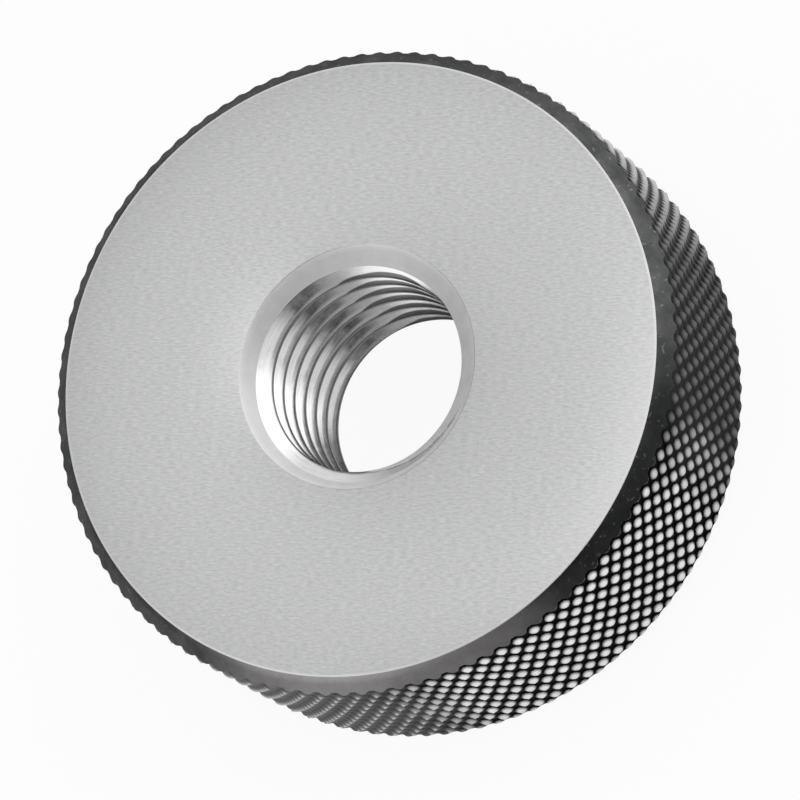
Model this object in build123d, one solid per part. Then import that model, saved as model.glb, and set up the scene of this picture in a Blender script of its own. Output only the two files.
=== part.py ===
from build123d import *
import os
from math import ceil, cos, pi, radians, sin, sqrt, tan

# A screw-thread ring gauge for M16 x 2, turned and knurled from one piece of steel.
# It lies on its back face: the bore runs along +Z and the origin is the middle of that face.
# Lengths are in millimetres and angles in degrees.

# Driving dimensions
outer_diameter = 45.0        # over the tips of the knurl
ring_width = 16.0            # from end face to end face
rim_chamfer = 1.25           # 45 degree chamfer between each end face and the knurl
thread_diameter = 16.0       # nominal diameter of the thread
thread_pitch = 2.0           # one turn of the thread
countersink_margin = 0.5     # how far the mouth of each countersink lies outside the thread
countersink_angle = 90.0     # included angle of both countersinks
knurl_teeth = 106            # pyramids in one row round the rim
knurl_helix = 31.0           # slant of both families of grooves, from the axis
knurl_depth = 0.30           # from the tips of the pyramids down to the grooves

# Bore: plain at the thread's minor diameter, where an ISO internal thread has its crests
minor_radius = thread_diameter / 2 - 5 / 16 * sqrt(3) * thread_pitch
countersink_radius = thread_diameter / 2 + countersink_margin
countersink_depth = (countersink_radius - minor_radius) / tan(radians(countersink_angle / 2))

# Rim: rows of pyramids, each row half a tooth round from its neighbours
tip_radius = outer_diameter / 2
groove_radius = tip_radius - knurl_depth
tooth_width = pi * outer_diameter / knurl_teeth
row_spacing = tooth_width / 2 / tan(radians(knurl_helix))
rows_each_side = ceil(ring_width / 2 / row_spacing + 0.5)


def rim_point(radius, turn, height):
    """A point on the rim, with turn counted in teeth from +X and height from the back face."""
    angle = 2 * pi * turn / knurl_teeth
    return Vector(radius * cos(angle), radius * sin(angle), height)


def facet(*corners):
    """A flat face between these corners."""
    return Face(Wire.make_polygon(corners, close=True))


def tooth(turn, height):
    """The four facets of one pyramid, from its tip down to the grooves that cross round it."""
    tip = rim_point(tip_radius, turn, height)
    base = [
        rim_point(groove_radius, turn + 0.5, height),
        rim_point(groove_radius, turn, height + row_spacing),
        rim_point(groove_radius, turn - 0.5, height),
        rim_point(groove_radius, turn, height - row_spacing),
    ]
    return [facet(tip, base[side - 1], base[side]) for side in range(4)]


def end_cap(turn, row_height, cap_height):
    """Two facets from the outer grooves of an end row to the axis, past the end of the ring."""
    centre = Vector(0, 0, cap_height)
    middle = rim_point(groove_radius, turn, cap_height)
    sides = [rim_point(groove_radius, turn + half, row_height) for half in (-0.5, 0.5)]
    return [facet(centre, middle, side) for side in sides]


def knurled_bar():
    """A bar with the diamond knurl all over it, a little longer than the ring."""
    facets = []
    for row in range(-rows_each_side, rows_each_side):
        height = ring_width / 2 + (row + 0.5) * row_spacing
        stagger = row % 2 / 2
        for turn in range(knurl_teeth):
            facets += tooth(turn + stagger, height)
            if row == -rows_each_side:
                facets += end_cap(turn + stagger, height, height - row_spacing)
            if row == rows_each_side - 1:
                facets += end_cap(turn + stagger, height, height + row_spacing)
    return Solid(Shell(facets))


def chamfered_blank():
    """The ring's outer form: both end faces, and chamfers that run on past the knurl's tips.

    It has two sides to a tooth, so a chamfer meets each facet of the knurl in a straight edge.
    """
    face_radius = tip_radius - rim_chamfer
    clear_radius = tip_radius + knurl_depth
    chamfer_run = clear_radius - face_radius
    outline = [
        (face_radius, 0),
        (clear_radius, chamfer_run),
        (clear_radius, ring_width - chamfer_run),
        (face_radius, ring_width),
    ]
    sides = range(2 * knurl_teeth)
    loops = [[rim_point(radius, side / 2, height) for side in sides] for radius, height in outline]
    facets = [facet(*loops[0]), facet(*loops[-1])]
    for lower, upper in zip(loops, loops[1:]):
        facets += [facet(lower[s - 1], lower[s], upper[s], upper[s - 1]) for s in sides]
    return Solid(Shell(facets))


def bore():
    """What is bored out: the thread's minor diameter, with a countersink at each end face."""
    section = Polyline(
        (0, 0),
        (countersink_radius, 0),
        (minor_radius, countersink_depth),
        (minor_radius, ring_width - countersink_depth),
        (countersink_radius, ring_width),
        (0, ring_width),
        close=True,
    )
    return revolve(Plane.XZ * make_face(section), Axis.Z)


gauge_ring = (knurled_bar() & chamfered_blank()) - bore()

os.makedirs("parts", exist_ok=True)
export_step(gauge_ring, "parts/gauge_ring.step")
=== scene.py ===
from math import cos, pi, radians, sin, sqrt, tan

import bpy
import numpy as np
from mathutils import Matrix, Vector


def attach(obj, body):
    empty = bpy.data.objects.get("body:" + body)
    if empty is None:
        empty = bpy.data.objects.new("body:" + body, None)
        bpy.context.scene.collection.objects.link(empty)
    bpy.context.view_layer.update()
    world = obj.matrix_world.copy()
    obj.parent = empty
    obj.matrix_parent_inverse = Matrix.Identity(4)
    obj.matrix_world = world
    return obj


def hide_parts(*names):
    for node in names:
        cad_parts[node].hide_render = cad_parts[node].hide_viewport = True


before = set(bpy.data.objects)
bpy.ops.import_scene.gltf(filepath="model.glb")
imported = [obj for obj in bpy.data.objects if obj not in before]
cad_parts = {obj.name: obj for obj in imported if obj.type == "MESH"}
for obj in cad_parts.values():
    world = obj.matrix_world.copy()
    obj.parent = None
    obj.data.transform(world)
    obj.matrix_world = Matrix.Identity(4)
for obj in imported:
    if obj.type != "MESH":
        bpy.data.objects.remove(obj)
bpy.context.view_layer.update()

# A thread ring gauge: a ground steel ring with a knurled, blackened rim and an M16 x 2 thread.
# It lies on its back face, with its axis along +Z. Lengths are in millimetres until they are
# scaled by MM, except where a comment says metres, and angles are in degrees.
MM = 0.001
NODE = "gauge_ring"
BODY = "root"

# Sizes that the CAD gives
TIP_RADIUS = 22.5
WIDTH = 16.0
RIM_CHAMFER = 1.25
FACE_RADIUS = TIP_RADIUS - RIM_CHAMFER
PITCH = 2.0
MAJOR_RADIUS = 8.0
MINOR_RADIUS = MAJOR_RADIUS - 5 / 16 * sqrt(3) * PITCH
MOUTH_RADIUS = 8.5
TEETH = 106
HELIX = 31.0
KNURL_DEPTH = 0.30
ROW_SPACING = pi * 2 * TIP_RADIUS / TEETH / 2 / tan(radians(HELIX))

# Finer sizes that only this model has. A break blunts the edge of a face, and its size is how far
# it runs along the face and along the 45-degree slope beside it. SLANT is the part of a length on
# such a slope that goes each way.
SLANT = sqrt(0.5)
EDGE_BREAK = 0.08
MOUTH_BREAK = 0.05
THREAD_START = 2.30 + PITCH * 117 / 360  # depth of a crest's middle at +X, from the front face
CREST_END, ROOT_START = 3 / 32, 7 / 16  # in pitches, from the middle of a crest
TOOTH_DEPTHS = (0.0, 0.21, 0.47, 0.73, 1.0)  # of the knurl's depth, from a tip out to the groove
TOOTH_SQUARENESS = (2.0, 2.3, 12.0)  # of a tooth's outline, at these shares of the way out
SQUARENESS_SHARES = (0, 0.75, 1)

# How finely the surfaces are divided
COLUMNS_PER_TOOTH = 8
ROWS_PER_SPACING = 4
RIM_COLUMNS = TEETH * COLUMNS_PER_TOOTH
BORE_COLUMNS = 212
ROWS_PER_PITCH = 16
BORE_END = 0.3  # depth below each face where the thread's grid ends in the countersink
NEAR = 1e-7
ANGLE_DIGITS = 7
WELD_DIGITS = 5
SHARP_ANGLE = 30

GROUND, CHAMFERED, KNURLED, SUNK, THREADED, EDGED = range(6)


# ---- Mesh tools: triangles have corners (angle, height, radius) until they are placed ----------

def grid_triangles(points, turned):
    """Triangles of a grid of points (rows, columns, k).

    turned says which cells have the other diagonal.
    """
    low_left, low_right = points[:-1, :-1], points[:-1, 1:]
    high_left, high_right = points[1:, :-1], points[1:, 1:]
    straight = (low_left, low_right, high_right, low_left, high_right, high_left)
    other = (low_left, low_right, high_left, low_right, high_right, high_left)
    cells = np.where(turned[:, :, None, None], np.stack(other, axis=2), np.stack(straight, axis=2))
    return cells.reshape(-1, 3, points.shape[2])


def cut(triangles, side):
    """Cuts triangles (n, 3, k) where side (n, 3) changes sign: those below zero, those above."""
    above = side > 0
    count = above.sum(axis=1)
    parts = {False: [triangles[count == 0]], True: [triangles[count == 3]]}
    for odd_above in (False, True):
        chosen = count == (1 if odd_above else 2)
        corners, values = triangles[chosen], side[chosen]
        lone = (above[chosen] == odd_above).argmax(axis=1)
        order = (lone[:, None] + np.arange(3)) % 3
        rows = np.arange(len(corners))[:, None]
        corners, values = corners[rows, order], values[rows, order]
        share = values[:, :1] / (values[:, :1] - values[:, 1:])
        tip = corners[:, :1]
        cuts = tip + share[:, :, None] * (corners[:, 1:] - tip)
        parts[odd_above].append(np.concatenate([tip, cuts], axis=1))
        parts[not odd_above].append(np.stack([cuts[:, 0], corners[:, 1], corners[:, 2]], axis=1))
        parts[not odd_above].append(np.stack([cuts[:, 0], corners[:, 2], cuts[:, 1]], axis=1))
    return np.concatenate(parts[False]), np.concatenate(parts[True])


def placed(triangles):
    """The same triangles with corners (x, y, z)."""
    angle, height, radius = np.moveaxis(triangles, 2, 0)
    return np.stack([radius * np.cos(angle), radius * np.sin(angle), height], axis=2)


def circle(radius, height, columns):
    """Points (angle, height, radius) round a circle, in order."""
    angles = 2 * pi * np.arange(columns) / columns
    return np.stack([angles, np.full(columns, height), np.full(columns, radius)], axis=1)


def edge_round(triangles, height):
    """The open edge of a surface that was cut at this height, as points in order of angle."""
    points = triangles.reshape(-1, 3)
    points = points[np.abs(points[:, 1] - height) < NEAR]
    points[:, 0] %= 2 * pi
    points[np.abs(points[:, 0] - 2 * pi) < NEAR, 0] = 0
    keys = np.round(points[:, 0], ANGLE_DIGITS)
    first = np.unique(keys, return_index=True)[1]
    return points[first]


def strip(inner, outer):
    """Triangles of a closed strip between two rounds of points, which may differ in number."""
    triangles = []
    i = j = 0
    while i < len(inner) or j < len(outer):
        next_inner = inner[(i + 1) % len(inner)][0] + 2 * pi * ((i + 1) // len(inner))
        next_outer = outer[(j + 1) % len(outer)][0] + 2 * pi * ((j + 1) // len(outer))
        here, there = inner[i % len(inner)], outer[j % len(outer)]
        if j >= len(outer) or (i < len(inner) and next_inner < next_outer):
            i += 1
            triangles.append((here, there, inner[i % len(inner)]))
        else:
            j += 1
            triangles.append((here, there, outer[j % len(outer)]))
    return np.array(triangles)


def welded(parts):
    """One mesh of several triangle lists: its points, triangles and each triangle's material."""
    corners = np.concatenate([placed(triangles) for triangles, _ in parts]).reshape(-1, 3)
    materials = [np.full(len(triangles), material) for triangles, material in parts]
    rounded = np.round(corners, WELD_DIGITS)
    first, index = np.unique(rounded, axis=0, return_index=True, return_inverse=True)[1:]
    faces = index.reshape(-1, 3)
    whole = (faces != np.roll(faces, 1, axis=1)).all(axis=1)
    return corners[first], faces[whole], np.concatenate(materials)[whole]


# ---- The ring's surfaces ----------------------------------------------------------------------

def knurl_radius(turn, height):
    """Radius of the knurl; turn counts teeth from +X, and the pyramids' tips are a little blunt."""
    row = (height - WIDTH / 2) / ROW_SPACING - 0.5
    away = [np.abs(way - np.round(way)) * 2 for way in (turn + row / 2, turn - row / 2)]
    power = np.interp(np.maximum(away[0], away[1]), SQUARENESS_SHARES, TOOTH_SQUARENESS)
    distance = (away[0] ** power + away[1] ** power) ** (1 / power)
    shares = np.linspace(0, 1, len(TOOTH_DEPTHS))
    return TIP_RADIUS - KNURL_DEPTH * np.interp(distance, shares, TOOTH_DEPTHS)


def chamfer_radius(height):
    """Radius of the rim's chamfers at this height."""
    return FACE_RADIUS + np.minimum(height, WIDTH - height)


def rim():
    """Knurl and chamfers, cut crisply where they cross, up to the breaks of the faces' edges."""
    break_height = EDGE_BREAK * SLANT
    margin = KNURL_DEPTH  # no row lies nearer to a face, where there is only chamfer
    first = round((margin - WIDTH / 2) / ROW_SPACING - 0.5) * ROWS_PER_SPACING
    steps = np.arange(first, 2 - first)
    heights = WIDTH / 2 + (steps / ROWS_PER_SPACING + 0.5) * ROW_SPACING
    inside = (heights > margin) & (heights < WIDTH - margin)
    steps, heights = steps[inside], heights[inside]
    heights = np.concatenate([[break_height], heights, [WIDTH - break_height]])
    rows = np.concatenate([[steps[0] - 1], steps])
    columns = np.arange(RIM_COLUMNS + 1)
    turn, height = np.meshgrid(columns / COLUMNS_PER_TOOTH, heights)
    points = np.stack([turn * 2 * pi / TEETH, height, knurl_radius(turn, height)], axis=2)
    half_teeth = 2 * columns[:-1] // COLUMNS_PER_TOOTH
    turned = (half_teeth[None, :] + (rows // ROWS_PER_SPACING)[:, None]) % 2 == 0
    triangles = grid_triangles(points, turned)
    cone = chamfer_radius(triangles[:, :, 1])
    knurl, chamfer = cut(triangles, triangles[:, :, 2] - cone)
    chamfer[:, :, 2] = chamfer_radius(chamfer[:, :, 1])
    return knurl, chamfer


def thread_radius(pitches):
    """Radius of the thread, pitches counting along the axis from the middle of a crest."""
    away = np.abs(pitches - np.round(pitches))
    return np.interp(away, (CREST_END, ROOT_START), (MINOR_RADIUS, MAJOR_RADIUS))


def countersink_radius(height):
    """Radius of the countersinks at this height."""
    return MOUTH_RADIUS - np.minimum(height, WIDTH - height)


def bore():
    """Thread, and the countersinks that cut it, between the heights BORE_END from each face."""
    columns = np.arange(BORE_COLUMNS + 1)
    first = -round(THREAD_START / PITCH * ROWS_PER_PITCH) - ROWS_PER_PITCH
    steps = np.arange(first, first + (WIDTH / PITCH + 3) * ROWS_PER_PITCH)
    column, step = np.meshgrid(columns, steps)
    depth = THREAD_START + PITCH * (step / ROWS_PER_PITCH - column / BORE_COLUMNS)
    radius = thread_radius(step / ROWS_PER_PITCH)
    points = np.stack([column * 2 * pi / BORE_COLUMNS, WIDTH - depth, radius], axis=2)
    triangles = grid_triangles(points, np.zeros((len(steps) - 1, BORE_COLUMNS), bool))
    triangles = cut(triangles, triangles[:, :, 1] - (WIDTH - BORE_END))[0]
    triangles = cut(triangles, triangles[:, :, 1] - BORE_END)[1]
    cone = countersink_radius(triangles[:, :, 1])
    sunk, thread = cut(triangles, triangles[:, :, 2] - cone)
    sunk[:, :, 2] = countersink_radius(sunk[:, :, 1])
    return thread, sunk


def ring_mesh():
    """The whole ring, closed: each end is four strips, from the countersink out to the rim."""
    knurl, chamfer = rim()
    thread, sunk = bore()
    parts = [(knurl, KNURLED), (chamfer, CHAMFERED), (thread, THREADED), (sunk, SUNK)]
    slope, mouth_slope = EDGE_BREAK * SLANT, MOUTH_BREAK * SLANT
    for face, inward in ((WIDTH, -1), (0.0, 1)):
        rounds = (
            edge_round(sunk, face + inward * BORE_END),
            circle(MOUTH_RADIUS - mouth_slope, face + inward * mouth_slope, BORE_COLUMNS),
            circle(MOUTH_RADIUS + MOUTH_BREAK, face, BORE_COLUMNS),
            circle(FACE_RADIUS - EDGE_BREAK, face, RIM_COLUMNS),
            circle(FACE_RADIUS + slope, face + inward * slope, RIM_COLUMNS),
        )
        for inner, outer, material in zip(rounds, rounds[1:], (SUNK, GROUND, GROUND, EDGED)):
            triangles = strip(inner, outer)
            if inward > 0:
                triangles = triangles[:, ::-1]
            parts.append((triangles, material))
    return welded(parts)


# ---- Finishes ---------------------------------------------------------------------------------

# Noise scales per metre, and heights in metres
CLOUD, WAVER, BLOTCHES, PATCHES, SPECKS, FLECKS, GRAIN, TOOL_RINGS = (
    120.0, 190.0, 500.0, 900.0, 2600.0, 3600.0, 9000.0, 14000.0
)
GRINDING_ANGLE = 58.6
STREAK_SCALES = (2000, 8500, 8500)
GRAIN_HEIGHT = 0.000004
TOOL_RING_HEIGHT = 0.000003
RAGGEDNESS = 0.00006  # how far the edge of the tips' wear and painted highlight wavers up and down a tooth

# Stretches of the ring: the angle that a stretch faces, the cosines of the angles from there where
# it begins and where it is full, and its amounts outside it and in full
# Painted light: the chamfers are greyer on one side of the ring.
PAINTED_LIGHT_SIDE = (222.0, 0.80, 0.97, 0.0, 1.0)
# Painted shade: the chamfers are darker, nearly black, on one side of the ring.
PAINTED_SHADE_SIDE = (278.0, 0.80, 0.95, 0.0, 0.55)
# Worn steel on the knurl's tips with painted highlight: these four set how much of it each side of
# the ring gets.
WEAR_AND_HIGHLIGHT_FRONT = (257.0, 0.78, 0.92, 0.09, 1.0)
WEAR_AND_HIGHLIGHT_RIGHT = (12.0, 0.66, 0.93, 0.0, 0.80)
WEAR_AND_HIGHLIGHT_BACK = (110.0, 0.40, 0.75, 0.0, 0.45)
WEAR_AND_HIGHLIGHT_TIPS = (205.0, 0.70, 0.90, 0.05, 0.6)
# Painted shade and painted light in the knurl's grooves: darker and flatter on the front, greyer on
# the left.
PAINTED_SHADE_FRONT = (310.0, 0.90, 0.98, 0.0, 0.5)
PAINTED_LIGHT_LEFT = (200.0, 0.88, 0.98, 0.0, 0.7)
# Painted shade on the thread's crests: a thin dark band all round, reaching wider on one side.
CREST_SHADE_REACH = (32.0, 0.90, 0.995, 0.06, 0.33)  # its amounts are in millimetres
CREST_FADE = 0.06


def grey(value, warmth=0.0):
    return (value * (1 + warmth), value, value * (1 - warmth), 1.0)


# The grey of the painted light on one side of the chamfers.
PAINTED_LIGHT_OXIDE = (0.318, 0.302, 0.308, 1.0)
WHITE = grey(1.0)
HALF_TINT = grey(0.5)  # keeps black metal dark where it is seen at a low angle


class Nodes:
    """A node tree, built by short calls."""

    def __init__(self, tree):
        self.tree = tree

    def add(self, kind, inputs=None, **settings):
        node = self.tree.nodes.new(kind)
        for key, value in settings.items():
            setattr(node, key, value)
        for key, value in (inputs or {}).items():
            self.put(value, node.inputs[key])
        return node

    def put(self, value, socket):
        """Sets a socket to a value, or links it where the value is another node's output."""
        if isinstance(value, bpy.types.NodeSocket):
            self.tree.links.new(value, socket)
        else:
            socket.default_value = value

    def math(self, operation, first, second):
        return self.add("ShaderNodeMath", {0: first, 1: second}, operation=operation).outputs[0]

    def dot(self, first, second):
        inputs = {0: first, 1: second}
        return self.add("ShaderNodeVectorMath", inputs, operation="DOT_PRODUCT").outputs["Value"]

    def mapped(self, value, low, high, to_low=0.0, to_high=1.0, **settings):
        inputs = {"Value": value, "From Min": low, "From Max": high}
        inputs.update({"To Min": to_low, "To Max": to_high})
        return self.add("ShaderNodeMapRange", inputs, **settings).outputs["Result"]


class Finish(Nodes):
    """A new material, built round its shader."""

    def __init__(self, name):
        self.material = bpy.data.materials.new(name)
        self.material.use_nodes = True
        super().__init__(self.material.node_tree)
        self.shader = self.tree.nodes["Principled BSDF"]
        self.place = self.add("ShaderNodeTexCoord").outputs["Object"]

    def noise(self, scale, detail=2.0, roughness=0.5, vector=None):
        inputs = {"Vector": self.place if vector is None else vector}
        inputs.update({"Scale": scale, "Detail": detail, "Roughness": roughness})
        return self.add("ShaderNodeTexNoise", inputs).outputs["Fac"]

    def spread(self, noise, low, high):
        """Maps what a noise mostly gives to these values."""
        return self.mapped(noise, 0.3, 0.7, low, high)

    def blended(self, share, first, second):
        inputs = {0: share, 6: first, 7: second}
        return self.add("ShaderNodeMix", inputs, data_type="RGBA").outputs[2]

    def set(self, **values):
        """Sets the shader's inputs, whose names are written with _ for a space."""
        for key, value in values.items():
            self.put(value, self.shader.inputs[key.replace("_", " ")])

    def bump(self, height, distance):
        inputs = {"Height": height, "Distance": distance, "Strength": 1.0}
        self.set(Normal=self.add("ShaderNodeBump", inputs).outputs["Normal"])

    def cylinder(self):
        """A place's distance from the ring's axis, its direction from there, and its height."""
        axes = self.add("ShaderNodeSeparateXYZ", {"Vector": self.place}).outputs
        across = self.add("ShaderNodeCombineXYZ", {"X": axes["X"], "Y": axes["Y"]}).outputs[0]
        length = self.add("ShaderNodeVectorMath", {0: across}, operation="LENGTH")
        outward = self.add("ShaderNodeVectorMath", {0: across}, operation="NORMALIZE")
        return length.outputs["Value"], outward.outputs[0], axes["Z"]

    def stretch(self, outward, angle, begin, full, outside, inside):
        """The amounts of one of the stretches above, with an uneven edge between them."""
        facing = self.dot(outward, (cos(radians(angle)), sin(radians(angle)), 0))
        uneven = self.math("ADD", facing, self.spread(self.noise(WAVER), -0.035, 0.035))
        return self.mapped(uneven, begin, full, outside, inside)


def ground_steel():
    """Surface-ground steel: fine streaks all one way, and a faint cloud over the whole face."""
    made = Finish("ground_steel")
    turned = made.add("ShaderNodeMapping", {"Vector": made.place})
    turned.inputs["Rotation"].default_value = (0, 0, radians(GRINDING_ANGLE))
    drawn = made.add("ShaderNodeMapping", {"Vector": turned.outputs["Vector"]})
    drawn.inputs["Scale"].default_value = STREAK_SCALES
    streaks = made.noise(1.0, 3.0, 0.6, drawn.outputs["Vector"])
    colour = made.blended(made.mapped(streaks, 0.25, 0.75), grey(0.45, -0.004), grey(0.66, -0.004))
    colour = made.blended(made.spread(made.noise(CLOUD), 0.0, 0.06), colour, grey(0.45))
    flecks = made.mapped(made.noise(FLECKS, 3.0, 0.7), 0.60, 0.75, 0.0, 0.35)
    made.set(
        Base_Color=made.blended(flecks, colour, grey(0.34)),
        Metallic=1.0,
        Roughness=made.mapped(streaks, 0.25, 0.75, 0.30, 0.40),
    )
    made.bump(streaks, GRAIN_HEIGHT)
    return made.material


def blackened_steel():
    """Satin black oxide on the chamfers, speckled, with painted light greyer on one side of the
    ring and painted shade darker on another.
    """
    made = Finish("blackened_steel")
    outward = made.cylinder()[1]
    blotches = made.noise(BLOTCHES, 3.0, 0.65)
    grain = made.noise(GRAIN)
    black = made.blended(made.mapped(blotches, 0.35, 0.70), grey(0.065, -0.03), grey(0.115))
    # Painted shade: one side of the chamfers is darkened nearly to black.
    black = made.blended(made.stretch(outward, *PAINTED_SHADE_SIDE), black, grey(0.02, -0.05))
    # Painted light: one side of the chamfers is lifted to a greyer oxide, broken up by the
    # blotches.
    painted_light_share = made.math("MULTIPLY", made.stretch(outward, *PAINTED_LIGHT_SIDE), made.spread(blotches, 0.75, 1.0))
    black = made.blended(painted_light_share, black, PAINTED_LIGHT_OXIDE)
    specks = made.mapped(made.noise(SPECKS, 2.0, 0.6), 0.63, 0.72, 0.0, 0.4)
    made.set(
        Base_Color=made.blended(specks, black, grey(0.3)),
        Metallic=1.0,
        Specular_Tint=HALF_TINT,
        Roughness=made.spread(grain, 0.26, 0.38),
    )
    made.bump(grain, GRAIN_HEIGHT)
    return made.material


def knurled_steel():
    """Black with painted shade in the grooves; the tips are worn to steel with painted highlight,
    more on some sides.
    """
    made = Finish("knurled_steel")
    radius, outward, _ = made.cylinder()
    grain = made.noise(GRAIN)
    waver = made.math("MULTIPLY", made.math("SUBTRACT", grain, 0.5), RAGGEDNESS)
    ragged = made.math("ADD", radius, waver)

    def rising(value, deep, shallow):
        """0 at one depth under the tips, rising to 1 at a shallower one."""
        return made.mapped(value, (TIP_RADIUS - deep) * MM, (TIP_RADIUS - shallow) * MM)

    # Worn steel on the tips with painted highlight: how much of it each side of the ring gets
    # follows how the light falls there.
    wide = made.stretch(outward, *WEAR_AND_HIGHLIGHT_FRONT)
    for place in (WEAR_AND_HIGHLIGHT_RIGHT, WEAR_AND_HIGHLIGHT_BACK):
        wide = made.math("MAXIMUM", wide, made.stretch(outward, *place))
    wide = made.math("MULTIPLY", rising(ragged, 0.25, 0.14), wide)
    narrow = made.math("MULTIPLY", rising(ragged, 0.15, 0.06), made.stretch(outward, *WEAR_AND_HIGHLIGHT_TIPS))
    handled = made.spread(made.noise(PATCHES, 3.0, 0.6), 0.8, 1.0)
    wear_and_highlight = made.math("MULTIPLY", handled, made.math("MAXIMUM", wide, narrow))

    # Painted shade: the black deepens towards the bottom of the grooves.
    up = made.math("POWER", rising(radius, KNURL_DEPTH, 0.1), 3.0)
    black = made.blended(up, grey(0.003), grey(0.13))
    # Painted shade on the front of the knurl and painted light on its left, over the grooves'
    # black.
    black = made.blended(made.stretch(outward, *PAINTED_SHADE_FRONT), black, grey(0.06, -0.01))
    black = made.blended(made.stretch(outward, *PAINTED_LIGHT_LEFT), black, grey(0.15, 0.01))
    made.set(
        Base_Color=made.blended(wear_and_highlight, black, grey(0.97)),
        Metallic=1.0,
        Specular_Tint=made.blended(wear_and_highlight, HALF_TINT, WHITE),
        Roughness=made.spread(grain, 0.24, 0.36),
    )
    made.bump(grain, GRAIN_HEIGHT)
    return made.material


def turned_steel(name, tones, roughness, metal, crest_shade=0.0):
    """Cut steel with the fine rings that the tool leaves, slight patches, and painted shade on the
    crests.
    """
    made = Finish(name)
    radius, outward, height = made.cylinder()
    section = made.add("ShaderNodeCombineXYZ", {"X": radius, "Z": height}).outputs[0]
    rings = made.noise(TOOL_RINGS, vector=section)
    patches = made.noise(PATCHES, 3.0, 0.6)
    tone = made.mapped(made.math("ADD", rings, patches), 0.7, 1.3)
    colour = made.blended(tone, *map(grey, tones))
    # Painted shade: the thread's crests are darkened, over a wider reach on one side of the ring.
    reach = made.math("MULTIPLY", made.stretch(outward, *CREST_SHADE_REACH), MM)
    depth = made.math("SUBTRACT", radius, MINOR_RADIUS * MM)
    crest = made.mapped(made.math("SUBTRACT", reach, depth), 0.0, CREST_FADE * MM, 0.0, crest_shade)
    made.set(
        Base_Color=made.blended(crest, colour, grey(0.02)),
        Metallic=metal,
        Roughness=made.spread(patches, *roughness),
    )
    made.bump(rings, TOOL_RING_HEIGHT)
    return made.material


def white_floor():
    """Plain white ground: it shows as white, and still takes part of the ring's shadow."""
    made = Finish("white_floor")
    made.set(Base_Color=grey(0.9), Roughness=0.9)
    path = made.add("ShaderNodeLightPath").outputs
    seen = made.math("MAXIMUM", path["Is Camera Ray"], path["Is Transmission Ray"])
    mirrored = made.math("MULTIPLY", path["Is Glossy Ray"], 0.6)
    glow = made.math("MAXIMUM", made.math("MULTIPLY", seen, 0.93), mirrored)
    white = made.add("ShaderNodeEmission", {"Color": WHITE, "Strength": 1.0})
    inputs = {0: glow, 1: made.shader.outputs[0], 2: white.outputs[0]}
    mix = made.add("ShaderNodeMixShader", inputs)
    made.put(mix.outputs[0], made.tree.nodes["Material Output"].inputs["Surface"])
    return made.material


# ---- The ring and the floor -------------------------------------------------------------------

def add_object(name, data):
    thing = bpy.data.objects.new(name, data)
    bpy.context.scene.collection.objects.link(thing)
    return thing


def add_mesh(name, points, faces, materials, slots):
    mesh = bpy.data.meshes.new(name)
    mesh.from_pydata(points.tolist(), [], faces.tolist())
    for material in materials:
        mesh.materials.append(material)
    mesh.polygons.foreach_set("material_index", np.asarray(slots, dtype=np.int32))
    mesh.validate()
    mesh.update()
    return add_object(name, mesh)


points, faces, face_slots = ring_mesh()
finishes = [
    ground_steel(),
    blackened_steel(),
    knurled_steel(),
    turned_steel("countersunk_steel", tones=(0.69, 0.79), roughness=(0.50, 0.56), metal=0.5),
    turned_steel(
        "threaded_steel", tones=(0.66, 0.84), roughness=(0.16, 0.28), metal=1.0, crest_shade=0.82
    ),
    turned_steel("edge_steel", tones=(0.66, 0.76), roughness=(0.30, 0.40), metal=0.4),
]
ring = add_mesh("ring", points * MM, faces, finishes, face_slots)
ring.data.shade_smooth()
ring.data.set_sharp_from_angle(angle=radians(SHARP_ANGLE))
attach(ring, BODY)
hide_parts(NODE)
print("ring", len(faces), "triangles")

FLOOR_HALF = 3.0  # in metres
FLOOR_GAP = 0.00002  # in metres; it keeps the floor clear of the ring's back face
corners = np.array([(-1, -1, 0), (1, -1, 0), (1, 1, 0), (-1, 1, 0)], float) * FLOOR_HALF
floor = add_mesh("floor", corners, np.array([(0, 1, 2, 3)]), [white_floor()], [0])
floor.location.z = -FLOOR_GAP

# ---- Light and camera -------------------------------------------------------------------------

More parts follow.
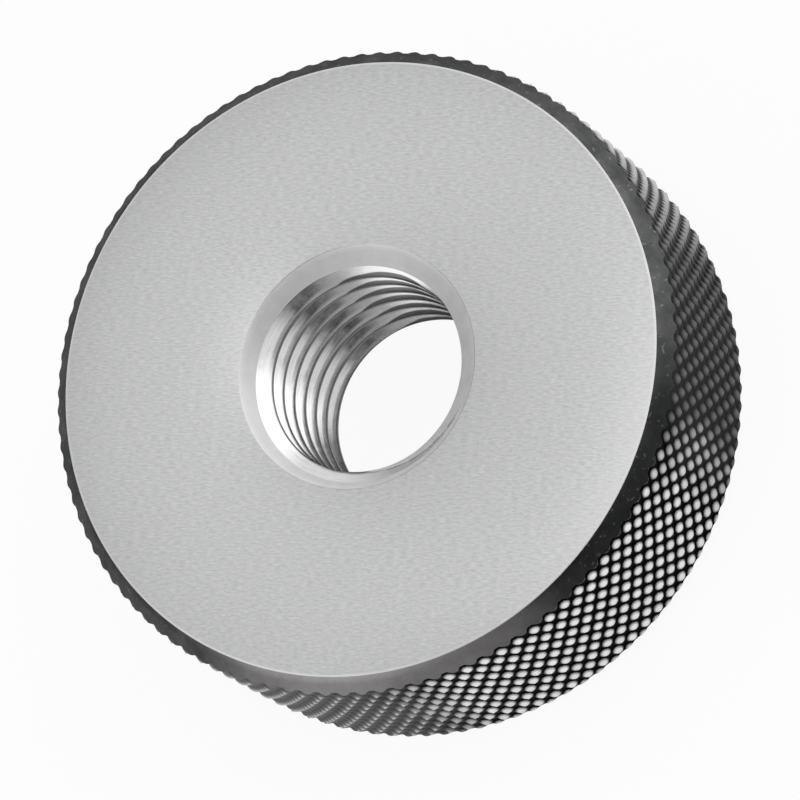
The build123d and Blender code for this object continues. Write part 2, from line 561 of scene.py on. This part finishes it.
# Soft patches of the sky: the direction of the middle, how many degrees from there the patch is
# full and where it ends, and how much brighter or darker than the rest it is
SKY_LEVEL = 0.42
SKY_PATCHES = (
    ((0.0, 0.43, 0.90), 18, 45, 0.58),
    ((-0.85, 0.05, 0.55), 8, 32, 0.9),
    ((0.85, -0.15, 0.38), 20, 40, 0.95),
    ((0.70, -0.12, 0.70), 10, 26, 0.22),
    ((0.80, 0.60, 0.05), 15, 40, 0.5),
    ((0.22, -0.25, 0.94), 14, 28, 0.8),
    ((0.0, -0.90, 0.43), 8, 24, -0.15),
    ((-0.14, -0.58, 0.80), 7, 19, -0.38),
)

world = bpy.data.worlds.new("studio")
bpy.context.scene.world = world
world.use_nodes = True
sky = Nodes(world.node_tree)
direction = sky.add("ShaderNodeTexCoord").outputs["Generated"]
level = SKY_LEVEL
for middle, full, end, change in SKY_PATCHES:
    near = sky.dot(direction, Vector(middle).normalized()[:])
    ends = cos(radians(end)), cos(radians(full))
    share = sky.mapped(near, *ends, interpolation_type="SMOOTHSTEP")
    level = sky.math("ADD", level, sky.math("MULTIPLY", share, change))
seen = sky.add("ShaderNodeLightPath").outputs["Is Camera Ray"]
background = world.node_tree.nodes["Background"]
sky.put(sky.math("MAXIMUM", level, seen), background.inputs["Strength"])
sky.put(WHITE, background.inputs["Color"])

# The camera's axes and place, and a small turn of both about the ring's axis
TURN = radians(0.25)
RIGHT = Vector((0.56034, -0.74687, -0.35802))
UP = Vector((0.82826, 0.50528, 0.24221))
BACK = Vector((0.0, -0.43225, 0.90174))
PLACE = Vector((-0.229, -197.87, 404.17 + WIDTH)) * MM
camera_data = bpy.data.cameras.new("camera")
camera_data.sensor_width = 36.0
camera_data.lens = 301.45
camera = add_object("camera", camera_data)
axes = Matrix((RIGHT, UP, BACK)).transposed().to_4x4()
camera.matrix_world = Matrix.Rotation(TURN, 4, "Z") @ Matrix.Translation(PLACE) @ axes
bpy.context.scene.camera = camera

bpy.context.scene.view_settings.view_transform = "Standard"
